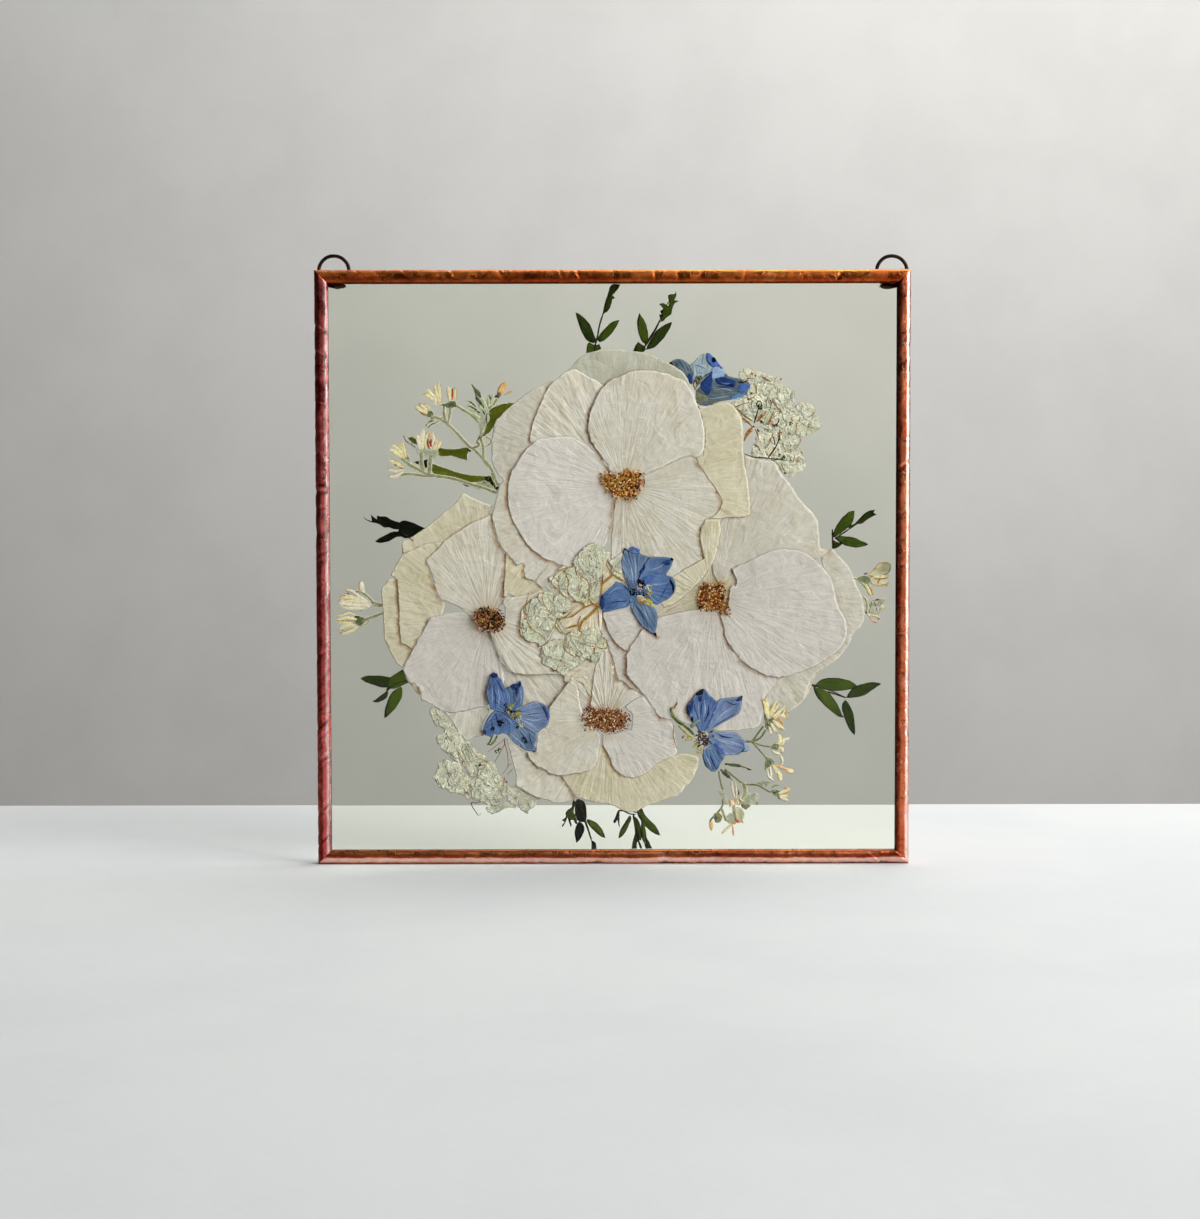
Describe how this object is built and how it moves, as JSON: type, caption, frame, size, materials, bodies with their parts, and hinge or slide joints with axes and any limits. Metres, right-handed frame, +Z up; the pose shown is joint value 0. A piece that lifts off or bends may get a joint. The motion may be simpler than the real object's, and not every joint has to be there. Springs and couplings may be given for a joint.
{
  "type": "pressed flower frame",
  "caption": "Square glass frame with pressed white roses, blue delphiniums, hydrangea and leaf sprigs between two panes, edged in copper, with wire rings for hanging.",
  "frame": {"origin": "middle of the bottom of the whole frame's bounding box, rings included", "axes": "+Z up the frame towards the hanging rings, the front pane faces -Y, +X to the right of the front view"},
  "size_m": [0.254, 0.0093, 0.2616],
  "materials": {
    "copper_rail": "copper-plated solder bead, shiny and slightly wrinkled",
    "glass": "clear float glass, polished",
    "dark_wire": "dark brown patina, satin",
    "rose_petal": "dry pressed petal, matt, fine veins",
    "stamens": "dry pressed stamens, rough",
    "delphinium": "dry pressed petal, matt, darker veins",
    "hydrangea": "dry pressed florets, matt",
    "leaf": "dry pressed leaf, satin",
    "woolly_sprig": "dry hairy stems and cream florets, matt"
  },
  "bodies": {
    "root": {"delphinium_centre": "delphinium", "delphinium_left": "delphinium", "delphinium_right": "delphinium", "hydrangea_centre": "hydrangea", "rose_top_stamens": "stamens", "rose_left_stamens": "stamens", "rose_right_stamens": "stamens", "rose_bottom_stamens": "stamens", "leaf_sprig_bottom_left": "leaf", "woolly_sprig_lower_right": "woolly_sprig", "woolly_sprig_bottom": "woolly_sprig", "rose_top_petal_upper": "rose_petal", "rose_right_petal_top_left": "rose_petal", "rose_right_petal_right": "rose_petal", "rose_bottom_petal_left": "rose_petal", "rose_top_petal_far_right": "rose_petal", "rose_right_petal_bottom": "rose_petal", "rose_top_petal_right": "rose_petal", "rose_bottom_petal_right": "rose_petal", "rose_right_petal_left_front": "rose_petal", "rose_top_petal_lower_left": "rose_petal", "rose_left_petal_right": "rose_petal", "rose_right_petal_left_back": "rose_petal", "rose_right_petal_top": "rose_petal", "rose_bottom_petal_bottom": "rose_petal", "rose_top_petal_pleated": "rose_petal", "rose_top_petal_low_left": "rose_petal", "rose_right_petal_outer": "rose_petal", "rose_right_petal_low": "rose_petal", "rose_bottom_petal_top": "rose_petal", "rose_bottom_petal_low_left": "rose_petal", "rose_top_petal_back": "rose_petal", "rose_top_petal_left": "rose_petal", "rose_left_petal_top": "rose_petal", "rose_left_petal_lower": "rose_petal", "rose_left_petal_left": "rose_petal", "rose_left_petal_back_top": "rose_petal", "rose_left_petal_outer": "rose_petal", "rose_left_petal_bottom": "rose_petal", "delphinium_upper_right": "delphinium", "hydrangea_upper_right": "hydrangea", "hydrangea_lower_left": "hydrangea", "leaf_sprig_top_left": "leaf", "leaf_sprig_top_right": "leaf", "leaf_sprig_left_upper": "leaf", "leaf_sprig_left_lower": "leaf", "leaf_sprig_right_upper": "leaf", "leaf_sprig_right_lower": "leaf", "leaf_sprig_bottom_right": "leaf", "woolly_sprig_upper_left": "woolly_sprig", "woolly_sprig_left": "woolly_sprig", "woolly_sprig_right": "woolly_sprig", "rail_top": "copper_rail", "rail_bottom": "copper_rail", "rail_left": "copper_rail", "rail_right": "copper_rail", "glass_front": "glass", "glass_back": "glass", "ring_left": "dark_wire", "ring_right": "dark_wire"}
  },
  "joints": []
}
